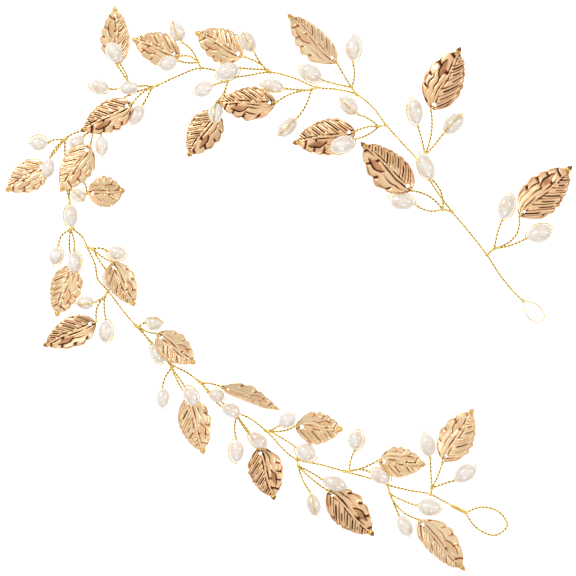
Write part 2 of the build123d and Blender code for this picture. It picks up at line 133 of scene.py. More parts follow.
# ---------------------------------------------------------------- layout of the sprigs
# Leaf: hole and tip (x, y, z), width, roll about the line from hole to tip (left edge up is positive), and
# an optional point that its stem bends through.
# Pearl: near end and far end (x, y, z), diameter, the side on which the outer strand runs back (degrees
# round the pearl from its top, towards its left as seen from the near end), and an optional bend point.
Leaf = namedtuple("Leaf", "hole tip width roll via", defaults=(None,))
Pearl = namedtuple("Pearl", "near far width side via", defaults=(None,))
Sprig = namedtuple("Sprig", "stretch root knot leaf pearls")

SPRIGS = (
    Sprig(1, (62.2, 10.4), (64.6, 12.4, 3.0),
          Leaf((73.8, 23.8, 4.4), (89.0, 38.3, 3.2), 12.2, -6, (71.8, 17.6, 3.8)),
          (Pearl((67.0, 21.6, 3.6), (69.0, 29.4, 3.9), 5.4, -80, (65.4, 16.8, 3.3)),
           Pearl((74.8, 15.6, 3.6), (82.5, 18.3, 3.9), 5.8, 80, (69.8, 13.4, 3.2)))),
    Sprig(1, (51.2, 24.0), (48.3, 24.6, 3.0),
          Leaf((37.4, 31.8, 5.5), (22.6, 45.7, 3.8), 12.0, 12, (43.6, 28.9, 4.4)),
          (Pearl((44.9, 34.0, 6.0), (41.3, 41.8, 6.4), 5.2, 75, (48.2, 28.7, 4.6)),
           Pearl((39.4, 26.2, 4.2), (31.6, 28.0, 3.8), 5.5, -75, (43.6, 24.2, 3.4)))),
    Sprig(1, (41.5, 38.8), (42.8, 41.6, 2.8),
          Leaf((45.6, 57.3, 4.8), (53.8, 75.2, 7.0), 12.2, 4, (44.8, 48.6, 4.0)),
          (Pearl((40.5, 51.0, 3.5), (39.1, 59.3, 3.8), 5.0, 80, (41.8, 46.6, 3.2)),
           Pearl((48.8, 48.5, 3.6), (54.6, 54.2, 4.0), 5.6, 8, (46.2, 45.2, 3.4)))),
    Sprig(1, (30.7, 51.0), (28.2, 50.5, 3.0),
          Leaf((19.2, 48.7, 3.8), (1.2, 45.3, 3.0), 11.2, 5, (23.8, 50.1, 3.6)),
          (Pearl((21.6, 54.5, 3.8), (16.3, 59.4, 4.2), 5.2, 10, (25.2, 52.9, 3.4)),
           Pearl((20.5, 46.1, 7.0), (13.2, 43.2, 7.6), 5.5, 115, (25.2, 48.0, 5.6)))),
    Sprig(2, (21.5, 60.5), (19.9, 62.8, 3.0),
          Leaf((13.9, 71.8, 4.2), (-0.2, 85.6, 6.2), 11.0, 30, (17.2, 66.9, 3.6)),
          (Pearl((10.4, 65.2, 3.8), (4.1, 69.4, 4.4), 5.2, 95, (15.4, 63.7, 3.2)),
           Pearl((20.2, 71.0, 3.5), (20.4, 78.8, 3.8), 5.0, -85, (20.8, 66.8, 3.2)))),
    Sprig(2, (8.9, 62.8), (7.2, 61.9, 3.0),
          Leaf((-5.7, 57.9, 6.4), (-22.5, 57.6, 5.4), 10.4, 8, (0.6, 60.5, 4.4)),
          (Pearl((-1.3, 62.4, 4.4), (-8.2, 64.0, 4.4), 4.6, 50, (3.2, 62.0, 3.4)),
           Pearl((2.6, 52.9, 3.6), (-3.1, 47.6, 4.0), 5.0, 0, (5.6, 57.2, 3.2)))),
    Sprig(2, (-5.6, 67.5), (-6.6, 68.3, 3.0),
          Leaf((-15.6, 73.2, 3.9), (-29.3, 80.2, 2.6), 10.6, -8, (-11.0, 71.3, 3.5)),
          (Pearl((-15.4, 68.5, 6.4), (-22.5, 66.6, 6.2), 5.4, 100, (-11.0, 68.4, 4.6)),
           Pearl((-10.7, 73.9, 5.0), (-14.3, 79.8, 6.6), 5.0, 5, (-8.9, 70.8, 3.8)))),
    Sprig(2, (-18.8, 66.0), (-18.9, 64.6, 2.4),
          Leaf((-23.0, 54.0, 2.8), (-31.4, 41.0, 2.2), 10.6, -4, (-20.2, 59.6, 2.2)),
          (Pearl((-23.6, 63.3, 3.6), (-29.6, 61.0, 3.6), 5.0, 170, (-21.2, 64.2, 2.8)),
           Pearl((-22.2, 57.6, 7.0), (-22.9, 51.4, 7.9), 4.6, -10, (-20.0, 61.2, 3.6)))),
    Sprig(2, (-27.3, 68.8), (-28.2, 70.7, 2.8),
          Leaf((-35.6, 73.2, 3.3), (-49.0, 78.0, 2.6), 10.0, -6, (-31.5, 72.6, 3.2)),
          (Pearl((-33.3, 77.2, 3.6), (-36.0, 83.3, 4.2), 5.0, 10, (-30.2, 74.4, 3.2)),
           Pearl((-34.6, 70.7, 7.0), (-40.3, 69.2, 7.4), 4.8, 180, (-31.2, 70.3, 5.0)))),
    Sprig(3, (-41.0, 63.4), (-42.4, 62.8, 3.0),
          Leaf((-50.2, 56.8, 5.6), (-64.8, 48.8, 5.4), 9.8, 4, (-46.8, 59.8, 4.6)),
          (Pearl((-46.6, 62.9, 5.8), (-52.6, 62.2, 5.2), 4.2, 180, (-44.6, 63.2, 4.4)),
           Pearl((-45.5, 57.0, 3.4), (-49.1, 51.2, 3.4), 4.8, 170, (-43.8, 60.2, 3.0)))),
    Sprig(3, (-49.4, 60.6), (-50.0, 64.4, 2.2),
          Leaf((-53.3, 71.6, 4.0), (-53.9, 88.0, 6.6), 9.6, 24, (-51.9, 67.4, 3.0)),
          (Pearl((-52.6, 70.3, 8.2), (-55.6, 76.3, 9.0), 5.0, 180, (-50.6, 67.0, 5.4)),
           Pearl((-56.0, 62.3, 3.5), (-61.9, 63.8, 3.6), 4.6, 120, (-53.0, 62.4, 2.6)))),
    Sprig(3, (-61.4, 51.0), (-61.0, 49.2, 2.6),
          Leaf((-62.7, 43.0, 7.2), (-71.0, 29.8, 6.4), 10.0, -2, (-61.3, 46.6, 5.0)),
          (Pearl((-64.0, 47.3, 3.4), (-68.0, 43.6, 3.2), 4.6, 170, (-62.4, 48.6, 2.8)),
           Pearl((-58.4, 47.6, 3.4), (-58.0, 41.2, 3.4), 4.4, 175, (-59.4, 49.2, 2.8)))),
    Sprig(3, (-69.3, 46.9), (-70.2, 46.2, 3.0),
          Leaf((-77.0, 37.8, 3.8), (-88.5, 30.2, 3.0), 9.8, 0, (-73.6, 42.4, 3.6)),
          (Pearl((-75.3, 45.4, 3.6), (-80.4, 45.0, 5.6), 4.8, -85, (-72.6, 46.4, 3.2)),
           Pearl((-74.1, 40.3, 7.6), (-75.2, 34.4, 8.4), 4.0, 180, (-71.9, 43.4, 5.6)))),
    Sprig(3, (-69.3, 31.3), (-68.4, 31.6, 2.6),
          Leaf((-61.2, 29.6, 3.6), (-50.6, 30.2, 11.0), 9.6, 8, (-64.2, 33.2, 2.4)),
          (Pearl((-67.3, 30.5, 3.6), (-63.6, 27.1, 3.6), 4.4, 0, (-68.0, 31.2, 3.2)),
           Pearl((-68.0, 25.8, 6.0), (-67.4, 19.0, 6.2), 4.6, -110, (-68.3, 28.6, 4.2)))),
    Sprig(3, (-67.4, 18.8), (-68.0, 18.2, 3.0),
          Leaf((-68.0, 5.6, 3.4), (-72.6, -9.2, 2.8), 9.8, 6, (-68.4, 13.4, 3.0)),
          (Pearl((-71.9, 12.9, 3.5), (-73.4, 7.4, 3.6), 4.6, 80, (-70.6, 16.6, 3.2)),
           Pearl((-66.6, 11.2, 7.0), (-66.4, 4.6, 7.8), 4.6, 85, (-66.9, 15.2, 5.0)))),
    Sprig(4, (-62.9, 12.8), (-61.0, 12.2, 3.0),
          Leaf((-54.2, 6.4, 7.0), (-47.8, -5.8, 6.2), 8.8, -4, (-57.8, 9.6, 5.2)),
          (Pearl((-56.2, 11.6, 3.6), (-50.6, 10.6, 3.6), 5.0, -80, (-58.6, 12.4, 3.2)),
           Pearl((-57.0, 5.6, 3.3), (-55.2, -0.2, 3.3), 4.2, 178, (-59.2, 8.9, 3.2)))),
    Sprig(4, (-56.3, -1.0), (-57.4, -2.8, 2.8),
          Leaf((-61.8, -11.2, 4.0), (-76.7, -18.2, 2.8), 9.6, -8, (-59.7, -6.2, 3.4)),
          (Pearl((-60.6, -4.4, 3.4), (-66.0, -4.8, 4.2), 4.4, 10, (-59.0, -3.7, 3.0)),
           Pearl((-57.0, -10.2, 3.5), (-57.1, -17.0, 3.8), 4.6, 85, (-57.5, -6.2, 3.2)))),
    Sprig(4, (-47.6, -11.9), (-46.6, -12.2, 2.8),
          Leaf((-39.4, -15.4, 8.0), (-28.7, -23.7, 8.2), 9.6, -12, (-43.2, -13.9, 5.6)),
          (Pearl((-44.2, -10.9, 3.5), (-39.2, -11.0, 5.0), 4.9, 40, (-45.6, -11.2, 3.2)),
           Pearl((-42.4, -17.8, 5.3), (-39.1, -23.2, 5.5), 4.6, -120, (-44.6, -14.9, 4.2)))),
    Sprig(4, (-37.0, -23.6), (-36.4, -25.0, 2.6),
          Leaf((-31.0, -36.0, 3.4), (-26.3, -52.2, 2.6), 10.0, 2, (-33.9, -30.4, 2.8)),
          (Pearl((-39.2, -31.2, 3.4), (-39.2, -37.5, 3.6), 4.4, 178, (-38.2, -27.6, 3.0)),
           Pearl((-32.0, -31.0, 7.0), (-28.6, -36.6, 7.6), 4.4, 95, (-34.4, -27.6, 4.8)))),
    Sprig(5, (-27.8, -29.3), (-26.8, -29.9, 3.0),
          Leaf((-18.8, -31.6, 7.4), (-2.6, -38.0, 8.0), 9.8, 58, (-23.6, -29.9, 6.2)),
          (Pearl((-24.6, -32.6, 6.2), (-19.9, -34.3, 6.6), 4.4, 180, (-26.0, -31.0, 4.6)),
           Pearl((-20.5, -37.0, 6.0), (-14.9, -39.4, 6.0), 4.4, 178, (-23.8, -34.3, 4.2)))),
    Sprig(5, (-16.5, -38.7), (-16.0, -40.0, 2.6),
          Leaf((-8.6, -51.6, 3.4), (-4.2, -66.4, 4.0), 10.6, 0, (-12.9, -44.9, 3.0)),
          (Pearl((-16.2, -47.5, 3.5), (-16.0, -54.4, 3.8), 4.8, -85, (-16.7, -43.6, 3.2)),
           Pearl((-11.8, -45.2, 6.4), (-6.8, -49.4, 6.8), 4.4, -100, (-14.2, -42.2, 4.8)))),
    Sprig(5, (-6.9, -44.8), (-5.6, -44.8, 2.8),
          Leaf((4.2, -43.4, 4.2), (17.4, -44.2, 5.0), 10.2, -12, (0.2, -44.2, 3.3)),
          (Pearl((-2.6, -42.8, 6.0), (2.0, -39.4, 7.4), 5.0, 178, (-4.4, -44.0, 4.4)),
           Pearl((2.7, -49.8, 3.6), (8.8, -52.8, 4.0), 5.4, -85, (-1.2, -47.4, 3.2)))),
    Sprig(5, (2.7, -53.6), (3.3, -55.8, 2.8),
          Leaf((13.9, -64.8, 3.8), (27.0, -77.6, 3.0), 11.0, 0, (8.9, -60.9, 3.4)),
          (Pearl((10.9, -59.8, 5.0), (18.3, -62.1, 5.8), 4.8, 178, (7.3, -57.7, 4.2)),
           Pearl((7.1, -64.3, 3.5), (8.8, -71.2, 3.8), 4.6, 0, (4.6, -60.0, 3.2)))),
    Sprig(6, (17.7, -57.4), (19.3, -57.3, 3.0),
          Leaf((30.0, -54.2, 4.6), (43.2, -55.1, 5.4), 9.4, 0, (24.2, -55.9, 3.8)),
          (Pearl((20.9, -50.4, 3.6), (21.3, -44.4, 5.2), 5.2, -85, (19.6, -54.0, 3.2)),
           Pearl((25.7, -57.5, 5.4), (31.8, -60.2, 5.6), 4.4, 85, (22.4, -56.7, 4.4)))),
    Sprig(6, (31.2, -61.6), (31.9, -64.4, 3.0),
          Leaf((42.0, -73.9, 4.2), (55.3, -88.4, 5.0), 11.0, 26, (35.9, -70.0, 3.4)),
          (Pearl((40.4, -68.0, 3.6), (48.2, -69.2, 3.9), 5.6, 165, (36.2, -66.6, 3.2)),
           Pearl((34.8, -71.3, 4.1), (37.9, -77.6, 4.2), 4.8, 178, (33.0, -67.2, 3.4)))),
    Sprig(6, (44.7, -64.6), (45.0, -62.6, 3.0),
          Leaf((49.4, -52.6, 4.2), (57.9, -37.5, 4.8), 10.8, -6, (47.0, -58.3, 3.6)),
          (Pearl((44.4, -52.7, 3.6), (42.6, -45.2, 3.8), 5.2, 165, (44.7, -57.6, 3.2)),
           Pearl((52.1, -60.0, 3.7), (58.7, -55.8, 3.8), 5.6, 165, (48.4, -61.3, 3.3)))),
)

# Each stretch of spine, from bend to bend, as the points that the hand-bent wire passes through.
BENDS = {
    "small_loop_bend": (67.2, 2.9),
    "bend_1": (26.3, 56.8),
    "bend_2": (-34.4, 66.4),
    "bend_3": (-64.3, 15.9),
    "bend_4": (-31.2, -26.7),
    "bend_5": (10.3, -55.3),
    "large_loop_bend": (48.3, -66.5),
}
STRETCHES = {
    1: ("small_loop_bend",
        ((62.2, 10.4), (55.2, 19.3), (51.2, 24.0), (44.4, 33.7), (41.5, 38.8), (35.0, 46.2), (30.7, 51.0)),
        "bend_1"),
    2: ("bend_1",
        ((21.5, 60.5), (15.0, 62.2), (8.9, 62.8), (1.6, 65.8), (-5.6, 67.5), (-14.0, 66.3), (-18.8, 66.0),
         (-22.6, 68.0), (-27.3, 68.8)),
        "bend_2"),
    3: ("bend_2",
        ((-41.0, 63.4), (-49.4, 60.6), (-55.0, 57.0), (-61.4, 51.0), (-65.0, 49.2), (-69.3, 46.9),
         (-69.8, 41.6), (-69.3, 31.3), (-68.0, 25.2), (-67.4, 18.8)),
        "bend_3"),
    4: ("bend_3",
        ((-62.9, 12.8), (-60.3, 7.0), (-59.6, 3.0), (-56.3, -1.0), (-51.9, -6.8), (-47.6, -11.9),
         (-41.9, -17.8), (-37.0, -23.6)),
        "bend_4"),
    5: ("bend_4",
        ((-27.8, -29.3), (-22.4, -34.4), (-16.5, -38.7), (-11.6, -41.0), (-6.9, -44.8), (2.7, -53.6)),
        "bend_5"),
    6: ("bend_5",
        ((17.7, -57.4), (25.0, -59.4), (31.2, -61.6), (38.2, -63.4), (44.7, -64.6)),
        "large_loop_bend"),
}
SMALL_LOOP = (              # a single strand, from the neck round and back to it
    (73.8, -4.2), (77.4, -4.9), (79.7, -7.2), (80.2, -9.4), (78.4, -10.7), (75.6, -9.6), (74.1, -7.2))
LARGE_LOOP = (              # the twisted pair, from the wrapped neck round and back to it
    (55.8, -70.4), (61.6, -68.6), (66.4, -70.4), (68.6, -74.4), (65.2, -77.3), (60.2, -75.9))
SMALL_NECK = (71.6, -2.2)   # a point that the twisted pair passes before the small loop's neck
LARGE_NECK = (51.2, -68.1)  # where the thick wrapping round the large loop's neck begins


# ---------------------------------------------------------------- curves
def point(x, y, z=SPINE_Z):
    """A point of the layout in metres."""
    return np.array((x, y, z)) * MM


def unit(v):
    """The vectors of an array at unit length."""
    return v / np.linalg.norm(v, axis=-1, keepdims=True)


def flow(points, step):
    """A smooth curve through the points, evenly sampled: on each span the cubic 2t^3 - 3t^2 + 1 blend of
    its two ends and of their slopes, each slope taken from the neighbouring points."""
    p = np.array(points, float)
    gaps = np.linalg.norm(np.diff(p, axis=0), axis=1)
    knots = np.concatenate(([0.0], np.cumsum(gaps)))
    slopes = np.gradient(p, knots, axis=0, edge_order=min(2, len(p) - 1))
    fine = np.linspace(0, knots[-1], max(int(knots[-1] / step) * 4, 24))
    span = np.clip(np.searchsorted(knots, fine, side="right") - 1, 0, len(gaps) - 1)
    t = ((fine - knots[span]) / gaps[span])[:, None]
    width = gaps[span][:, None]
    rough = (
        (2 * t**3 - 3 * t**2 + 1) * p[span]
        + (t**3 - 2 * t**2 + t) * width * slopes[span]
        + (3 * t**2 - 2 * t**3) * p[span + 1]
        + (t**3 - t**2) * width * slopes[span + 1]
    )
    return evenly(rough, step)


def evenly(path, step):
    """The path sampled at equal distances of about one step."""
    along = lengths(path)
    marks = np.linspace(0, along[-1], max(int(round(along[-1] / step)), 3) + 1)
    return np.stack([np.interp(marks, along, path[:, k]) for k in range(3)], axis=1)


def lengths(path):
    """The distance along the path at each of its points."""
    return np.concatenate(([0.0], np.cumsum(np.linalg.norm(np.diff(path, axis=0), axis=1))))


def frames(start, end, roll=0.0):
    """Axes for a piece that lies from start to end: along it, to its left, and out of its front, the last
    two turned about the first by roll degrees, which lifts the left edge."""
    along = unit(np.array(end, float) - np.array(start, float))
    left = unit(np.cross((0, 0, 1), along))
    front = np.cross(along, left)
    turn = math.radians(roll)
    tilted = front * math.cos(turn) - left * math.sin(turn)
    return along, np.cross(tilted, along), tilted


def placed(origin, axes, local):
    """Local x, y, z values in the vine's frame."""
    return np.array(origin) + local @ np.array(axes)


# ---------------------------------------------------------------- meshes
SAME_PLACE = 1e-7          # points nearer than this, as at a pole or a leaf's tip, are one point
DOME_REACH = 0.6           # a wire's end dome, as shares of its radius: how far it stands out,
DOME_END = 0.2             # and how wide it ends


class Surface:
    """Vertices, faces and one shade value per vertex, gathered from several surfaces into one mesh."""

    def __init__(self):
        self.points, self.faces, self.shades, self.count = [], [], [], 0

    def add(self, points, faces, shade):
        self.points.append(points)
        self.faces.append(faces + self.count)
        self.shades.append(np.broadcast_to(shade, len(points)))
        self.count += len(points)

    def mesh(self, name, material):
        """The gathered surfaces as one smooth-shaded object at the origin."""
        data = bpy.data.meshes.new(name)
        data.from_pydata(np.concatenate(self.points), [], np.concatenate(self.faces).tolist())
        shade = data.attributes.new("shade", "FLOAT", "POINT")
        shade.data.foreach_set("value", np.concatenate(self.shades).astype(np.float32))
        merged = bmesh.new()
        merged.from_mesh(data)
        bmesh.ops.remove_doubles(merged, verts=merged.verts, dist=SAME_PLACE)
        merged.to_mesh(data)
        merged.free()
        data.polygons.foreach_set("use_smooth", np.ones(len(data.polygons), bool))
        data.materials.append(material)
        piece = bpy.data.objects.new(name, data)
        bpy.context.collection.objects.link(piece)
        return piece


def grid_faces(rows, columns, wrap):
    """The quads of a grid, row by row. With wrap, the last column joins the first."""
    r, c = np.meshgrid(np.arange(rows - 1), np.arange(columns if wrap else columns - 1), indexing="ij")
    after = (c + 1) % columns
    this_row, next_row = r * columns, (r + 1) * columns
    quads = np.stack([this_row + c, this_row + after, next_row + after, next_row + c], -1)
    return quads.reshape(-1, 4)


def tube(surface, path, radius, up=(0, 0, 1), sides=8, crease=None):
    """A round wire: each point of the path plus radius times a circle square to the path, closed by small
    domes. crease is the line that the wire winds round; the side that faces it gets painted shade, a darker
    colour."""
    tangent = unit(np.gradient(path, axis=0))
    side = unit(np.cross(tangent, up))
    over = np.cross(side, tangent)
    reach = radius * DOME_REACH
    ends = np.array([path[0] - tangent[0] * reach, path[-1] + tangent[-1] * reach])
    path = np.concatenate((ends[:1], path, ends[1:]))
    side = np.concatenate((side[:1], side, side[-1:]))
    over = np.concatenate((over[:1], over, over[-1:]))
    size = np.full(len(path), radius)
    size[[0, -1]] = radius * DOME_END
    angle = np.linspace(0, 2 * math.pi, sides, endpoint=False)
    ring = np.cos(angle)[None, :, None] * side[:, None] + np.sin(angle)[None, :, None] * over[:, None]
    points = path[:, None] + ring * size[:, None, None]
    shade = np.ones((len(path), sides))
    # painted shade: the side of the strand that faces the crease line gets a low shade value, which darkens
    # its colour
    if crease is not None:
        inward = np.concatenate((crease[:1], crease, crease[-1:])) - path
        facing = np.sum(ring * unit(inward)[:, None], axis=-1)
        shade = 1 - np.clip((facing - 0.05) / 0.6, 0, 1)
    faces = grid_faces(len(path), sides, wrap=True)[:, ::-1]
    surface.add(points.reshape(-1, 3), faces, shade.reshape(-1))
    for row, order in ((0, -1), (len(path) - 1, 1)):
        cap = np.array([[row * sides + (k * order) % sides for k in (0, j, j + 1, j + 2)]
                        for j in range(1, sides - 2, 2)])
        surface.add(np.zeros((0, 3)), cap - len(path) * sides, np.zeros(0))


def twisted_pair(surface, centre, phase=0.0):
    """Two strands wound round each other: the centre line plus and minus a strand's radius in the direction
    that turns once in every TWIST_PITCH."""
    angle = 2 * math.pi * lengths(centre) / (TWIST_PITCH * MM) + phase
    tangent = unit(np.gradient(centre, axis=0))
    side = unit(np.cross(tangent, (0, 0, 1)))
    over = np.cross(side, tangent)
    offset = (np.cos(angle)[:, None] * side + np.sin(angle)[:, None] * over) * STRAND_R * MM
    for sign in (1, -1):
        # painted shade where the two strands lie against each other, drawn into their colour
        tube(surface, centre + sign * offset, STRAND_R * MM, crease=centre)


def coil(surface, middle, axis, radius, turns):
    """A strand wound round an axis: a helix of the given radius that climbs by COIL_PITCH in every turn."""
    angle = np.linspace(0, 2 * math.pi * turns, int(turns * 18) + 1)
    axis = unit(np.array(axis, float))
    side = unit(np.cross(axis, (0, 0, 1)))
    over = np.cross(side, axis)
    climb = (angle - angle.mean())[:, None] / (2 * math.pi) * COIL_PITCH * MM * axis
    spokes = np.cos(angle)[:, None] * side + np.sin(angle)[:, None] * over
    path = middle + climb + radius * MM * spokes
    # painted shade on the inner side of the coil, where it lies against the wire it winds round
    tube(surface, path, STRAND_R * MM, up=axis, crease=np.broadcast_to(middle, path.shape) + climb)


# ---------------------------------------------------------------- materials
def node_maker(tree):
    """A function that adds a node to the tree, with its settings and with links or values on its inputs."""
    def node(kind, inputs=(), **settings):
        new = tree.nodes.new(kind)
        for key, value in settings.items():
            setattr(new, key, value)
        for socket, value in inputs:
            if isinstance(value, bpy.types.NodeSocket):
                tree.links.new(value, new.inputs[socket])
            else:
                new.inputs[socket].default_value = value
        return new

    return node


def material(name):
    """A new node material, its node maker, its main shader and its links."""
    made = bpy.data.materials.new(name)
    made.use_nodes = True
    tree = made.node_tree
    return made, node_maker(tree), tree.nodes["Principled BSDF"], tree.links


def ramp(node, fac, stops):
    """A colour ramp through (position, colour) stops."""
    new = node("ShaderNodeValToRGB", [("Fac", fac)])
    elements = new.color_ramp.elements
    while len(elements) < len(stops):
        elements.new(0.5)
    for element, (position, colour) in zip(elements, stops):
        element.position = position
        element.color = (*colour, 1)
    return new.outputs["Color"]


def noise(node, place, scale, detail=3.0):
    """A cloudy value from 0 to 1 at each place."""
    made = node("ShaderNodeTexNoise", [("Vector", place), ("Scale", scale), ("Detail", detail)])
    return made.outputs["Fac"]


def maths(node, operation, *values):
    """The result of an operation on the values."""
    return node("ShaderNodeMath", list(enumerate(values)), operation=operation).outputs[0]


def bump(node, height, strength, distance):
    """A normal roughened by the height."""
    made = node("ShaderNodeBump", [("Height", height), ("Strength", strength), ("Distance", distance)])
    return made.outputs["Normal"]


def stamped_leaf_metal():
    """Rose-gold plate with dark patina left in the grooves, polished ridges, blotchy tint and fine grain."""
    made, node, shader, links = material("stamped leaf metal")
    place = node("ShaderNodeTexCoord").outputs["Object"]
    height = node("ShaderNodeAttribute", attribute_name="shade").outputs["Fac"]
    blotch = noise(node, place, 260.0)
    grain = noise(node, place, 2600.0, detail=2.0)
    worn = maths(node, "MULTIPLY_ADD", blotch, 0.34, -0.17)
    level = maths(node, "ADD", height, worn)
    plate = ramp(node, level, [(0.12, (0.035, 0.010, 0.003)), (0.38, (0.30, 0.10, 0.03)),
                               (0.60, (0.90, 0.50, 0.24)), (1.0, (1.0, 0.78, 0.49))])
    links.new(plate, shader.inputs["Base Color"])
    rough = node("ShaderNodeMapRange", [("Value", level), ("From Min", 0.1), ("From Max", 0.9),
                                        ("To Min", 0.55), ("To Max", 0.24)]).outputs[0]
    links.new(rough, shader.inputs["Roughness"])
    links.new(bump(node, grain, 0.25, 0.00006), shader.inputs["Normal"])
    shader.inputs["Metallic"].default_value = 0.38
    return made


def gold_craft_wire():
    """Bright yellow craft wire with drawing marks, and painted shade that darkens it where two strands touch.
    """
    made, node, shader, links = material("gold craft wire")
    place = node("ShaderNodeTexCoord").outputs["Object"]
    # painted shade: the shade attribute is low on the side of a strand that faces the wire it winds round
    painted_contact_shade = node("ShaderNodeAttribute", attribute_name="shade").outputs["Fac"]
    tint = noise(node, place, 420.0)
    marks = noise(node, place, 3600.0, detail=2.0)
    uneven = maths(node, "MULTIPLY_ADD", tint, 0.5, -0.25)
    # the colour's level is the painted shade plus a real uneven tint
    level = maths(node, "ADD", painted_contact_shade, uneven)
    gold = ramp(node, level, [(0.10, (0.09, 0.040, 0.005)), (0.50, (0.42, 0.235, 0.030)),
                              (0.82, (0.86, 0.56, 0.11)), (1.0, (0.98, 0.74, 0.24))])
    links.new(gold, shader.inputs["Base Color"])
    rough = node("ShaderNodeMapRange", [("Value", marks), ("To Min", 0.22), ("To Max", 0.42)]).outputs[0]
    links.new(rough, shader.inputs["Roughness"])
    links.new(bump(node, marks, 0.2, 0.00003), shader.inputs["Normal"])
    shader.inputs["Metallic"].default_value = 0.9
    return made


def rice_pearl_nacre():
    """Ivory nacre with a faint pink cast, soft growth rings along the pearl and a clear, glossy skin."""
    made, node, shader, links = material("rice pearl nacre")
    place = node("ShaderNodeTexCoord").outputs["Object"]
    along = node("ShaderNodeAttribute", attribute_name="shade").outputs["Fac"]
    cloud = noise(node, place, 330.0)
    wander = maths(node, "MULTIPLY_ADD", cloud, 0.22, along)
    rings = maths(node, "SINE", maths(node, "MULTIPLY", wander, 42.0))
    level = maths(node, "MULTIPLY_ADD", rings, 0.035, cloud)
    nacre = ramp(node, level, [(0.25, (0.80, 0.64, 0.52)), (0.45, (0.92, 0.82, 0.72)),
                               (0.62, (0.97, 0.91, 0.85)), (0.80, (0.96, 0.87, 0.83))])
    links.new(nacre, shader.inputs["Base Color"])
    links.new(bump(node, level, 0.10, 0.00006), shader.inputs["Normal"])
    shader.inputs["Roughness"].default_value = 0.24
    shader.inputs["Subsurface Weight"].default_value = 0.35
    shader.inputs["Subsurface Radius"].default_value = (1.0, 0.7, 0.5)
    shader.inputs["Subsurface Scale"].default_value = 0.001
    shader.inputs["Coat Weight"].default_value = 1.0
    shader.inputs["Coat Roughness"].default_value = 0.06
    return made


def white_table():
    """Matt white card with a hardly visible fibre."""
    made, node, shader, links = material("white table")
    place = node("ShaderNodeTexCoord").outputs["Object"]
    card = ramp(node, noise(node, place, 900.0), [(0.3, (0.93, 0.93, 0.93)), (0.7, (0.96, 0.96, 0.96))])
    links.new(card, shader.inputs["Base Color"])
    shader.inputs["Roughness"].default_value = 0.9
    shader.inputs["Emission Color"].default_value = (1.0, 1.0, 1.0, 1.0)
    shader.inputs["Emission Strength"].default_value = 0.60
    return made


LEAF_METAL = stamped_leaf_metal()
WIRE = gold_craft_wire()
NACRE = rice_pearl_nacre()


# ---------------------------------------------------------------- leaf
def leaf_half_width(share, width):
    """Half the plain outline's width: half the width times sin(pi * share ** fullness) ** 0.8, narrowing to
    the neck and the barb near the tip."""
    belly = 0.5 * width * np.clip(np.sin(math.pi * share**LEAF_FULLNESS), 0, None) ** 0.8
    tail = np.interp(share, (SHOULDER_AT, NECK_AT, BARB_AT, 1.0), (SHOULDER_HALF, NECK_HALF, BARB_HALF, 0.0))
    past_shoulder = np.where(share < NECK_AT, np.minimum(belly, tail), tail)
    return np.where(share > SHOULDER_AT, past_shoulder, belly)


def cut_line(phase):
    """A narrow line wherever the phase is whole: exp(-(distance to the nearest whole / 0.1) ** 2)."""
    return np.exp(-(((phase - np.round(phase)) / 0.1) ** 2))


def inner_lobe(x, y, centre_x, centre_y, scale):
    """A long pointed lens inside the blade, turned 8 degrees outwards, 6.4 by 2 millimetres at scale 1: how
    far each place is inside it, and how near to the cut line round it, both from 0 to 1. The cut is deepest
    on the outer side. The lens is where (along / half length)^2 + |aside| / half width is under 1."""
    turn = math.radians(8)
    along = (x - centre_x) * math.cos(turn) + (y - centre_y) * math.sin(turn)
    aside = (y - centre_y) * math.cos(turn) - (x - centre_x) * math.sin(turn)
    reach = (along / (3.2 * scale)) ** 2 + np.abs(aside) / (1.0 * scale)
    depth = 0.50 + 0.35 * np.tanh(aside / (0.4 * scale))
    return np.clip((1.0 - reach) / 0.3, 0, 1), np.exp(-(((reach - 1.0) / 0.20) ** 2)) * depth


def leaf_phases(s, w, plain, full, wave):
    """The phase of the ribs and of the lobes, which is whole on each cut line between two of them: their
    count times (share of the length - a lean outwards), with a slow wander."""
    lean = (0.7 * np.abs(w) + 0.35 * w**2) * plain / full
    ribs = RIB_COUNT * (s - lean) + 0.22 * np.sin(5 * s + wave[0]) + 0.12 * np.sin(3 * w + wave[1])
    lobes = LOBE_COUNT * (s - 0.5 * np.abs(w) ** 1.4 * plain / full) + 0.22 * np.sin(6 * s + wave[2])
    return ribs, lobes


def scallops(s, w, ribs, lobes, wave):
    """The bulges of the edge as a share of the half width: 0.09 |sin(pi * rib phase)| ** 0.7 on the right,
    0.13 |sin(pi * lobe phase)| ** 0.8 on the left, and a ripple that grows towards the edge."""
    bulge = np.where(w < 0, np.abs(np.sin(math.pi * ribs)) ** 0.7 * 0.09,
                     np.abs(np.sin(math.pi * lobes)) ** 0.8 * 0.13)
    return bulge + 0.02 * np.sin(37 * s + wave[1]) * np.abs(w)


def ribbed_half(out, phase, wave):
    """The right half: flat ribs parted by cut lines of uneven depth, and a slit along the middle of each rib,
    exp(-(distance from the middle / 0.13) ** 4), which starts and ends short of the rib's own ends."""
    rib = np.floor(phase)
    flat = 1 - (0.55 + 0.25 * np.sin(2.2 * rib + wave[0] + 5 * out)) * cut_line(phase)
    slit = np.clip((out - 0.20 - 0.12 * np.sin(1.9 * rib + wave[3])) * 9, 0, 1)
    slit = slit * np.clip((0.80 + 0.10 * np.sin(2.7 * rib + wave[5]) - out) * 9, 0, 1)
    slit = slit * (0.75 + 0.25 * np.sin(2.4 * rib + wave[1]))
    return flat - 0.95 * slit * np.exp(-(((phase - rib - 0.5) / 0.13) ** 4))


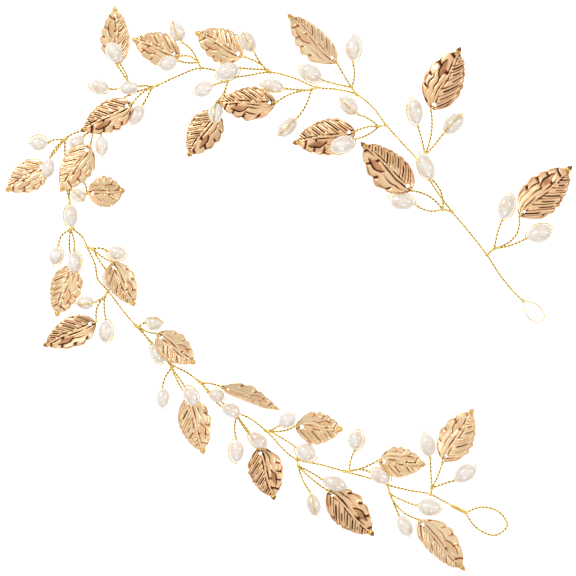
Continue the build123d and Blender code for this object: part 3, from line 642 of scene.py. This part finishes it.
def lobed_half(s, out, plain, full, phase, wave):
    """The left half: strips along the outer edge as far as the middle of the blade, lobes beyond them and
    along the margin, each parted by cut lines, and one long lens."""
    strips = 1 - (0.55 + 0.25 * np.sin(14 * s + wave[1])) * cut_line(3.1 * out + 1.2 * s + 0.1 * wave[4])
    lobes = 1 - 0.75 * cut_line(phase)
    upper = np.clip((s - 0.46) / 0.08, 0, 1)
    margin = np.clip((out - 0.70) / 0.08, 0, 1)
    blade = strips * (1 - upper) * (1 - margin) + lobes * np.maximum(upper, margin)
    inner, outline = inner_lobe(s * full, out * plain, 0.60 * full, 0.36 * plain, full / 21)
    return (blade * (1 - inner) + 0.68 * inner) * (1 - outline)


def leaf_relief(s, w, plain, full, phases, wave):
    """The height of the stamping, from 0 in a groove to 1 on a ridge: the two halves, a raised rim with a
    broken groove inside it, and the midrib, exp(-(distance from its line / 0.30) ** 2), with a broken groove
    on each side. Beyond the shoulder it is plain."""
    out = np.abs(w)
    ribs, lobes = phases
    blade = np.where(w < 0, ribbed_half(out, ribs, wave), lobed_half(s, out, plain, full, lobes, wave))
    rim = np.clip((out - 0.91) / 0.04, 0, 1)
    groove = np.exp(-(((out - 0.89) / 0.022) ** 2)) * (0.5 + 0.5 * np.sin(23 * s + wave[2]))
    blade = blade * (1 - rim) * (1 - 0.75 * groove) + 0.78 * rim
    offset = (w - 0.07 * np.sin(2 * math.pi * s + 0.5)) * plain
    midrib = np.exp(-((offset / 0.30) ** 2))
    flank = np.exp(-(((np.abs(offset) - 0.50) / 0.16) ** 2)) * np.clip((0.9 - s) * 8, 0, 1)
    broken = 0.55 + 0.40 * np.sin(17 * s + wave[0] + 1.5 * np.sign(offset))
    relief = np.maximum(blade * (1 - flank * broken), midrib * 0.9)
    stamped = np.clip((0.93 - s) * 12, 0, 1)
    return relief * stamped + PLAIN_LEVEL * (1 - stamped)


def punched(x, y, z, plain_z):
    """The leaf's points and faces with the base hole in them: points near the hole's rim are moved onto it,
    at the height of the plain plate, and the faces inside it are left out."""
    away = np.sqrt(x**2 + y**2)
    near = (away > 0.55 * LEAF_HOLE_R) & (away < 1.3 * LEAF_HOLE_R)
    pull = np.where(near, LEAF_HOLE_R / np.maximum(away, 1e-6), 1.0)
    local = np.stack([x * pull, y * pull, np.where(near, plain_z, z)], axis=-1).reshape(-1, 3) * MM
    faces = grid_faces(*x.shape, wrap=False)
    inside = (away < 0.99 * LEAF_HOLE_R).reshape(-1)
    on_rim = near.reshape(-1)
    faces = faces[~np.any(inside[faces] & ~on_rim[faces], axis=1)]
    return local, faces[~np.all(on_rim[faces], axis=1)]


def stamped_leaf(index, leaf, body):
    """The stamped leaf as a height field h(x, y) over its outline, bowed across its width.

    x runs from base to tip and y to the left. The midrib is a raised S: y = a * sin(2 pi x). Right of it, cut
    lines on x - |y| = constant part flat ribs, each with a short slit along its middle. Left of it, strips
    follow the outer edge, |y| = constant, as far as the middle of the blade, lobes lie beyond them on the
    lines x - 0.5 |y| = constant, and one long lens is cut into them. The scallops of the edge follow the ribs
    and lobes. The shade attribute is the height from groove to ridge, with the grooves deepened and the whole
    plate darker on the leaves in DARK_LEAVES, and a little lighter on the others.
    and lobes. The shade attribute is the height from groove to ridge, deepened by the leaf's patina."""
    length = float(np.linalg.norm(np.array(leaf.tip) - np.array(leaf.hole)))
    full = length + LEAF_BASE
    wave = np.random.default_rng(LEAF_SEED + index).uniform(0, 2 * math.pi, 6)
    rows, columns = LEAF_GRID
    share = (1 - np.cos(np.linspace(0, 0.96 * math.pi, rows))) / 2
    share = share / share[-1]
    s, w = np.meshgrid(share, np.linspace(-1, 1, columns), indexing="ij")
    plain = leaf_half_width(s, leaf.width)
    phases = leaf_phases(s, w, plain, full, wave)
    relief = leaf_relief(s, w, plain, full, phases, wave)

    taper = np.clip((0.88 - s) / 0.1, 0, 1) * np.clip(s / 0.05, 0, 1)
    half = plain * (1 + (scallops(s, w, *phases, wave) - 0.05) * taper)
    x = s * full - LEAF_BASE
    y = w * half
    bow = LEAF_CURL_R - np.sqrt(LEAF_CURL_R**2 - y**2)
    wavy = 0.16 * np.sin(7 * s + wave[4]) * np.abs(w) ** 2 + 0.12 * np.sin(4 * s + wave[5])
    z = -bow + RELIEF_HEIGHT * (relief - PLAIN_LEVEL) * taper + wavy * taper
    local, faces = punched(x, y, z, -bow)

    spots = placed(np.array(leaf.hole) * MM, frames(leaf.hole, leaf.tip, leaf.roll), local)
    depth, tone = DARK_LEAF_TONE if index in DARK_LEAVES else LIGHT_LEAF_TONE
    blank = Surface()
    blank.add(spots, faces[:, ::-1], (1 - (1 - relief) * depth - tone).reshape(-1))
    piece = blank.mesh(f"stamped_leaf_{index:02d}", LEAF_METAL)
    wall = piece.modifiers.new("plate", "SOLIDIFY")
    wall.thickness = LEAF_THICKNESS * MM
    wall.offset = -1.0
    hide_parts(f"leaf_{index:02d}")
    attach(piece, body)


# ---------------------------------------------------------------- pearls
def rice_pearls(index, pearls, body):
    """A sprig's two pearls, each a slightly egg-shaped ellipsoid of revolution with shallow growth rings and
    a drill hole's dimple at each end: radius = width / 2 * sin(a) * (1 + egg * cos(a)), where egg is drawn
    between -0.08 and 0.08, at x = -length / 2 * cos(a)."""
    pair = Surface()
    for number, pearl in enumerate(pearls):
        chance = np.random.default_rng(PEARL_SEED + 2 * index + number)
        length = float(np.linalg.norm(np.array(pearl.far) - np.array(pearl.near)))
        rows, columns = PEARL_GRID
        a = np.linspace(0, math.pi, rows)
        turn = np.linspace(0, 2 * math.pi, columns, endpoint=False)
        a, turn = np.meshgrid(a, turn, indexing="ij")
        egg = chance.uniform(-0.08, 0.08)
        rings = 1 + 0.006 * np.sin(a * chance.uniform(9, 13) + chance.uniform(0, 6))
        lump = 1 + 0.012 * np.sin(2 * turn + 3 * a + chance.uniform(0, 6))
        radius = pearl.width / 2 * np.sin(a) * (1 + egg * np.cos(a)) * rings * lump
        x = -length / 2 * np.cos(a)
        dimple = np.clip(1 - radius / DRILL_HOLE_R, 0, 1) ** 2
        x = x + np.sign(np.cos(a)) * dimple * DRILL_DIMPLE
        local = np.stack([x, radius * np.cos(turn), radius * np.sin(turn)], axis=-1).reshape(-1, 3) * MM
        middle = (np.array(pearl.near) + np.array(pearl.far)) / 2 * MM
        points = placed(middle, frames(pearl.near, pearl.far), local)
        shade = (0.5 - 0.5 * np.cos(a)).reshape(-1)
        pair.add(points, grid_faces(rows, columns, wrap=True), shade)
    piece = pair.mesh(f"rice_pearls_{index:02d}", NACRE)
    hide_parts(f"pearls_{index:02d}")
    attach(piece, body)


# ---------------------------------------------------------------- wires
STEP = 0.17 * MM


def stem(wires, start, end, via, phase):
    """A twisted stem, straight or bowed through one point."""
    points = [start, point(*via), end] if via else [start, (start + end) / 2, end]
    twisted_pair(wires, flow(points, STEP), phase)


def leaf_wire(wires, leaf, knot, phase):
    """The leaf's stem, the ring through its hole, the strand behind it and the two turns round its neck."""
    axes = frames(leaf.hole, leaf.tip, leaf.roll)
    length = float(np.linalg.norm(np.array(leaf.tip) - np.array(leaf.hole)))
    neck_x = NECK_AT * (length + LEAF_BASE) - LEAF_BASE
    hole = point(*leaf.hole)

    def local(*values):
        return placed(hole, axes, np.array(values) * MM)

    end = local(-2.2, 0, -0.1)
    stem(wires, knot, end, leaf.via, phase)
    coil(wires, end, axes[0], *LEAF_STEM_COIL)
    angle = np.linspace(0, 2 * math.pi, 28)
    ring = np.stack([-1.35 + 0.95 * np.cos(angle), 0.22 * np.sin(angle / 2), 0.62 * np.sin(angle)], -1)
    tube(wires, placed(hole, axes, ring * MM), STRAND_R * MM, up=axes[1])
    behind = [local(-1.9, 0.1, -0.2), local(-0.3, 0.95, -0.7), local(0.5 * neck_x, 0.3, -0.85),
              local(neck_x - 0.5, 0, -0.62)]
    tube(wires, flow(behind, 4 * STEP), STRAND_R * MM)
    angle = np.linspace(-math.pi / 2, 2 * math.pi * 2.25 - math.pi / 2, 60)
    neck = np.stack([neck_x + 0.36 * (angle / (2 * math.pi) - 1.0), 0.82 * np.cos(angle),
                     0.52 * np.sin(angle) - 0.12], -1)
    tube(wires, placed(hole, axes, neck * MM), STRAND_R * MM, up=axes[0])


def pearl_wire(wires, pearl, knot, phase):
    """The pearl's stem, the strand through it, its turn past the far end and the strand that runs back along
    its side: x = half the length + (half the length + gap) * cos(a), and (radius + gap) * sin(a) from the
    middle."""
    axes = frames(pearl.near, pearl.far)
    length = float(np.linalg.norm(np.array(pearl.far) - np.array(pearl.near)))
    near = point(*pearl.near)

    def local(x, reach, height):
        return placed(near, axes, np.stack(np.broadcast_arrays(x, reach, height), -1) * MM)

    start = local(-PEARL_END_GAP, 0, 0)
    stem(wires, knot, start, pearl.via, phase)
    coil(wires, start, axes[0], *PEARL_STEM_COIL)
    angle = math.radians(pearl.side)
    a = np.linspace(0, math.pi, 40)
    bulge = (pearl.width / 2 + PEARL_SIDE_GAP) * np.sin(a)
    x = length / 2 + (length / 2 + PEARL_END_GAP) * np.cos(a)
    back = local(x, bulge * math.sin(angle), bulge * math.cos(angle))
    through = local(np.linspace(-PEARL_END_GAP, length + PEARL_END_GAP, 12), 0, 0)
    tube(wires, through, STRAND_R * MM)
    tube(wires, back, STRAND_R * MM, up=np.cross(back[20] - near, axes[0]))


def sprig_wire(wires, sprig, spine_direction):
    """A sprig's coil round the spine, its thick twisted stalk, its knot and its three stems."""
    root, knot = point(*sprig.root), point(*sprig.knot)
    out = unit(knot - root)
    coil(wires, root, spine_direction, *ROOT_COIL)
    twisted_pair(wires, flow([root, (root + knot) / 2, knot], STEP))
    twisted_pair(wires, flow([root, (root + knot) / 2, knot], STEP), math.pi / 2)
    coil(wires, knot, out, *KNOT_COIL)
    for number, pearl in enumerate(sprig.pearls):
        pearl_wire(wires, pearl, knot, 1.0 + 2 * number)
    leaf_wire(wires, sprig.leaf, knot, 0.4)


def whole_spine():
    """The spine's centre line from the small loop's neck to the large loop's neck, the distance along it of
    each of its points, and of each bend."""
    points = [point(*SMALL_LOOP[0]), point(*SMALL_NECK)]
    for first, between, last in STRETCHES.values():
        points += [point(*BENDS[first])] + [point(*p) for p in between]
    points += [point(*BENDS["large_loop_bend"]), point(*LARGE_NECK)]
    line = flow(points, STEP)
    along = lengths(line)
    marks = {}
    for name, place in BENDS.items():
        marks[name] = along[np.argmin(np.linalg.norm(line - point(*place), axis=1))]
    return line, along, marks


SPINE, SPINE_ALONG, BEND_MARKS = whole_spine()
BEND_ORDER = list(BENDS)
BODY_ORDER = ["small_end_loop"] + [f"vine_{number}" for number in STRETCHES] + ["large_end_loop"]


def spine_piece(start, end):
    """The part of the spine's centre line between two distances along it, and the twist's phase at its
    start."""
    keep = (SPINE_ALONG >= start - STEP / 2) & (SPINE_ALONG <= end + STEP / 2)
    line = SPINE[keep]
    return line, 2 * math.pi * SPINE_ALONG[keep][0] / (TWIST_PITCH * MM)


def nearest_direction(place):
    """The spine's direction where it passes a place."""
    spot = int(np.argmin(np.linalg.norm(SPINE - place, axis=1)))
    low, high = max(spot - 3, 0), min(spot + 3, len(SPINE) - 1)
    return unit(SPINE[high] - SPINE[low])


def vine_stretch(number):
    """One stretch of the spine and the wires of its sprigs."""
    first, _, last = STRETCHES[number]
    wires = Surface()
    line, phase = spine_piece(BEND_MARKS[first] + BRIDGE_HALF * MM, BEND_MARKS[last] - BRIDGE_HALF * MM)
    twisted_pair(wires, line, phase)
    for sprig in SPRIGS:
        if sprig.stretch == number:
            sprig_wire(wires, sprig, nearest_direction(point(*sprig.root)))
    piece = wires.mesh(f"gold_wire_{number}", WIRE)
    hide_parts(f"vine_wire_{number}")
    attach(piece, f"vine_{number}")


def bend_bridge(name, parent, child):
    """The springy piece of spine at a bend, fixed where it lies at rest and attached to neither piece beside
    it.
    """
    mark = BEND_MARKS[name]
    reach = (BRIDGE_HALF + BRIDGE_LAP) * MM
    line, phase = spine_piece(mark - reach, mark + reach)
    wires = Surface()
    twisted_pair(wires, line, phase)
    piece = wires.mesh(f"bridge_{name}", WIRE)
    order = BEND_ORDER.index(name)
    before, after = BODY_ORDER[order], BODY_ORDER[order + 1]
    assert {before, after} == {parent, child}
    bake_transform(piece)


def small_loop():
    """The spine's tail, two turns round the neck and the small end loop of one strand."""
    wires = Surface()
    line, phase = spine_piece(0.0, BEND_MARKS["small_loop_bend"] - BRIDGE_HALF * MM)
    twisted_pair(wires, line, phase)
    neck = point(*SMALL_LOOP[0])
    coil(wires, neck, nearest_direction(neck), *SMALL_NECK_COIL)
    round_path = flow([point(*p) for p in SMALL_LOOP] + [neck], 2 * STEP)
    tube(wires, round_path, STRAND_R * MM)
    piece = wires.mesh("small_loop_of_wire", WIRE)
    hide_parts("small_end_loop")
    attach(piece, "small_end_loop")


def large_loop():
    """The spine's tail, the neck wrapped in close turns and the large end loop of the twisted pair."""
    wires = Surface()
    line, phase = spine_piece(BEND_MARKS["large_loop_bend"] + BRIDGE_HALF * MM, SPINE_ALONG[-1])
    twisted_pair(wires, line, phase)
    neck, start = point(*LARGE_NECK), point(*LARGE_LOOP[0])
    twisted_pair(wires, flow([neck, (neck + start) / 2, start], STEP), phase)
    turns = float(np.linalg.norm(start - neck)) / (COIL_PITCH * MM)
    coil(wires, (neck + start) / 2, start - neck, LARGE_NECK_COIL_R, turns)
    twisted_pair(wires, flow([point(*p) for p in LARGE_LOOP] + [start], STEP))
    piece = wires.mesh("large_loop_of_wire", WIRE)
    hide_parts("large_end_loop")
    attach(piece, "large_end_loop")


# ---------------------------------------------------------------- camera, light and table
def straight_down_camera():
    """A long lens that looks straight down at the middle of the vine, which fills the frame."""
    data = bpy.data.cameras.new("camera over the table")
    data.lens = LENS_LENGTH
    data.sensor_width = SENSOR_WIDTH
    data.clip_end = 10.0
    camera = bpy.data.objects.new("camera over the table", data)
    distance = VIEW_WIDTH * MM / 2 / (data.sensor_width / 2 / data.lens)
    camera.location = (0, 0, distance + VIEW_LEVEL * MM)
    bpy.context.collection.objects.link(camera)
    bpy.context.scene.camera = camera


def soft_box(name, place, size, power):
    """A square area light that faces the middle of the vine."""
    data = bpy.data.lights.new(name, "AREA")
    data.shape = "SQUARE"
    data.size = size
    data.energy = power
    light = bpy.data.objects.new(name, data)
    light.location = place
    light.rotation_mode = "QUATERNION"
    direction = -np.array(place)
    light.rotation_quaternion = mathutils.Vector(direction).to_track_quat("-Z", "Y")
    bpy.context.collection.objects.link(light)


def studio():
    """A white table, soft boxes round it and a pale room."""
    floor = Surface()
    top = cad_box[0][2] - HANG_ROOM * MM
    signs = np.array([(-1, -1), (1, -1), (1, 1), (-1, 1)], float)
    corners = np.column_stack((signs * TABLE_HALF, np.full(4, top)))
    floor.add(corners, np.array([[0, 1, 2, 3]]), 1.0)
    table = floor.mesh("white_table", white_table())
    soft_box("light from the upper left", (-0.55, 0.5, 0.75), 0.35, 5.4)
    soft_box("light from the right", (0.75, 0.1, 0.6), 0.25, 2.2)
    soft_box("light from below the frame", (0.1, -0.8, 0.6), 0.35, 1.7)
    bpy.context.scene.world = pale_room()
    bpy.context.scene.view_settings.view_transform = "Standard"


def pale_room():
    """A room that is bright overhead and dimmer towards the walls, so that the metal has something to
    show."""
    world = bpy.data.worlds.new("pale room")
    world.use_nodes = True
    tree = world.node_tree
    node = node_maker(tree)
    direction = node("ShaderNodeTexCoord").outputs["Generated"]
    height = node("ShaderNodeSeparateXYZ", [("Vector", direction)]).outputs["Z"]
    levels = ((0.0, 0.55), (0.45, 0.30), (0.72, 0.45), (0.90, 1.0))
    shade = ramp(node, height, [(at, (level, level * 0.99, level * 0.97)) for at, level in levels])
    tree.links.new(shade, tree.nodes["Background"].inputs["Color"])
    tree.nodes["Background"].inputs["Strength"].default_value = 0.68
    return world


# ---------------------------------------------------------------- making
straight_down_camera()
studio()
for number in STRETCHES:
    vine_stretch(number)
for joint in frame["joints"]:
    bend_bridge(joint["name"], joint["parent"], joint["child"])
small_loop()
large_loop()
for index, sprig in enumerate(SPRIGS, start=1):
    stamped_leaf(index, sprig.leaf, f"vine_{sprig.stretch}")
    rice_pearls(index, sprig.pearls, f"vine_{sprig.stretch}")
